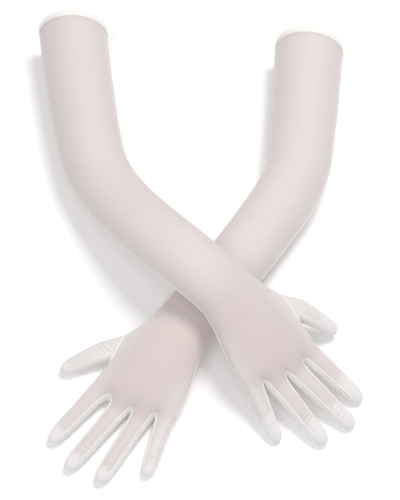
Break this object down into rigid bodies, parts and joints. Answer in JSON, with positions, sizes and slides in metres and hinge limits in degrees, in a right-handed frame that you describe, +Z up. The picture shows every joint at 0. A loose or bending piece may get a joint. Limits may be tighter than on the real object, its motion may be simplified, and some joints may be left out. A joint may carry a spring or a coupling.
{
  "type": "opera gloves",
  "caption": "Pair of sheer opera-length gloves laid one across the other, with long sleeves, folded hems and sewn fingers that curl.",
  "frame": {"origin": "middle of the pair's footprint, on the surface that the gloves lie on", "axes": "+Z up from the surface, +Y from the fingertips toward the cuffs, +X toward the left glove's cuff"},
  "size_m": [0.3318, 0.513, 0.0892],
  "materials": {
    "tricot": "sheer knitted nylon and elastane, soft satin",
    "fourchette": "same knit, doubled by its seam allowances",
    "seam": "overlocked seam, matt",
    "hem": "folded double knit, matt",
    "thread": "polyester sewing thread",
    "elastic": "covered flat elastic"
  },
  "bodies": {
    "left_sleeve": {"left_hem_band": "hem", "left_hem_elastic": "elastic", "left_hem_stitching": "thread", "left_sleeve_back_lower": "tricot", "left_sleeve_back_upper": "tricot", "left_sleeve_front_lower": "tricot", "left_sleeve_front_upper": "tricot", "left_sleeve_inner_seam": "seam", "left_sleeve_outer_seam": "seam"},
    "left_hand": {"left_hand_back": "tricot", "left_hand_palm": "tricot", "left_hand_seam": "seam"},
    "left_thumb": {"left_thumb_back": "tricot", "left_thumb_front": "tricot", "left_thumb_seam": "seam"},
    "left_index": {"left_index_back": "tricot", "left_index_palm": "tricot", "left_index_fourchette": "fourchette"},
    "left_middle": {"left_middle_back": "tricot", "left_middle_palm": "tricot", "left_middle_inner_fourchette": "fourchette", "left_middle_outer_fourchette": "fourchette"},
    "left_ring": {"left_ring_back": "tricot", "left_ring_palm": "tricot", "left_ring_inner_fourchette": "fourchette", "left_ring_outer_fourchette": "fourchette"},
    "left_little": {"left_little_back": "tricot", "left_little_palm": "tricot", "left_little_fourchette": "fourchette"},
    "right_sleeve": {"right_hem_band": "hem", "right_hem_elastic": "elastic", "right_hem_stitching": "thread", "right_sleeve_back_lower": "tricot", "right_sleeve_back_upper": "tricot", "right_sleeve_front_lower": "tricot", "right_sleeve_front_upper": "tricot", "right_sleeve_inner_seam": "seam", "right_sleeve_outer_seam": "seam"},
    "right_hand": {"right_hand_back": "tricot", "right_hand_palm": "tricot", "right_hand_seam": "seam"},
    "right_thumb": {"right_thumb_back": "tricot", "right_thumb_front": "tricot", "right_thumb_seam": "seam"},
    "right_index": {"right_index_back": "tricot", "right_index_palm": "tricot", "right_index_fourchette": "fourchette"},
    "right_middle": {"right_middle_back": "tricot", "right_middle_palm": "tricot", "right_middle_inner_fourchette": "fourchette", "right_middle_outer_fourchette": "fourchette"},
    "right_ring": {"right_ring_back": "tricot", "right_ring_palm": "tricot", "right_ring_inner_fourchette": "fourchette", "right_ring_outer_fourchette": "fourchette"},
    "right_little": {"right_little_back": "tricot", "right_little_palm": "tricot", "right_little_fourchette": "fourchette"}
  },
  "joints": [
    {"name": "right_glove_lift", "type": "slide", "parent": "left_sleeve", "child": "right_sleeve", "axis": [0, 0, 1], "range_m": [0, 0.15]},
    {"name": "left_wrist", "type": "hinge", "parent": "left_sleeve", "child": "left_hand", "pos_m": [-0.008, -0.102, 0.0195], "axis": [0.8049, -0.5934, 0], "range_deg": [-30, 30]},
    {"name": "left_thumb_curl", "type": "hinge", "parent": "left_hand", "child": "left_thumb", "pos_m": [-0.06976, -0.11705, 0.00379], "axis": [-0.3539, -0.9353, 0], "range_deg": [-10, 45]},
    {"name": "left_index_curl", "type": "hinge", "parent": "left_hand", "child": "left_index", "pos_m": [-0.08503, -0.16281, 0.00098], "axis": [0.7501, -0.6613, 0], "range_deg": [-15, 75]},
    {"name": "left_middle_curl", "type": "hinge", "parent": "left_hand", "child": "left_middle", "pos_m": [-0.06528, -0.17996, 0.00085], "axis": [0.7837, -0.6211, 0], "range_deg": [-15, 75]},
    {"name": "left_ring_curl", "type": "hinge", "parent": "left_hand", "child": "left_ring", "pos_m": [-0.04508, -0.18973, 0.00112], "axis": [0.8536, -0.521, 0], "range_deg": [-15, 75]},
    {"name": "left_little_curl", "type": "hinge", "parent": "left_hand", "child": "left_little", "pos_m": [-0.02366, -0.19299, 0.00179], "axis": [0.9542, -0.299, 0], "range_deg": [-15, 75]},
    {"name": "right_wrist", "type": "hinge", "parent": "right_sleeve", "child": "right_hand", "pos_m": [0.035, -0.084, 0.0599], "axis": [0.7009, 0.7133, 0], "range_deg": [-30, 15]},
    {"name": "right_thumb_curl", "type": "hinge", "parent": "right_hand", "child": "right_thumb", "pos_m": [0.09153, -0.08577, 0.03318], "axis": [-0.4849, 0.8746, 0], "range_deg": [-10, 45]},
    {"name": "right_index_curl", "type": "hinge", "parent": "right_hand", "child": "right_index", "pos_m": [0.11191, -0.12913, 0.01722], "axis": [0.6361, 0.7716, 0], "range_deg": [-15, 75]},
    {"name": "right_middle_curl", "type": "hinge", "parent": "right_hand", "child": "right_middle", "pos_m": [0.09819, -0.14641, 0.01643], "axis": [0.6756, 0.7373, 0], "range_deg": [-15, 75]},
    {"name": "right_ring_curl", "type": "hinge", "parent": "right_hand", "child": "right_ring", "pos_m": [0.07996, -0.15907, 0.01784], "axis": [0.7604, 0.6494, 0], "range_deg": [-15, 75]},
    {"name": "right_little_curl", "type": "hinge", "parent": "right_hand", "child": "right_little", "pos_m": [0.05958, -0.16492, 0.02156], "axis": [0.8949, 0.4462, 0], "range_deg": [-15, 75]}
  ]
}
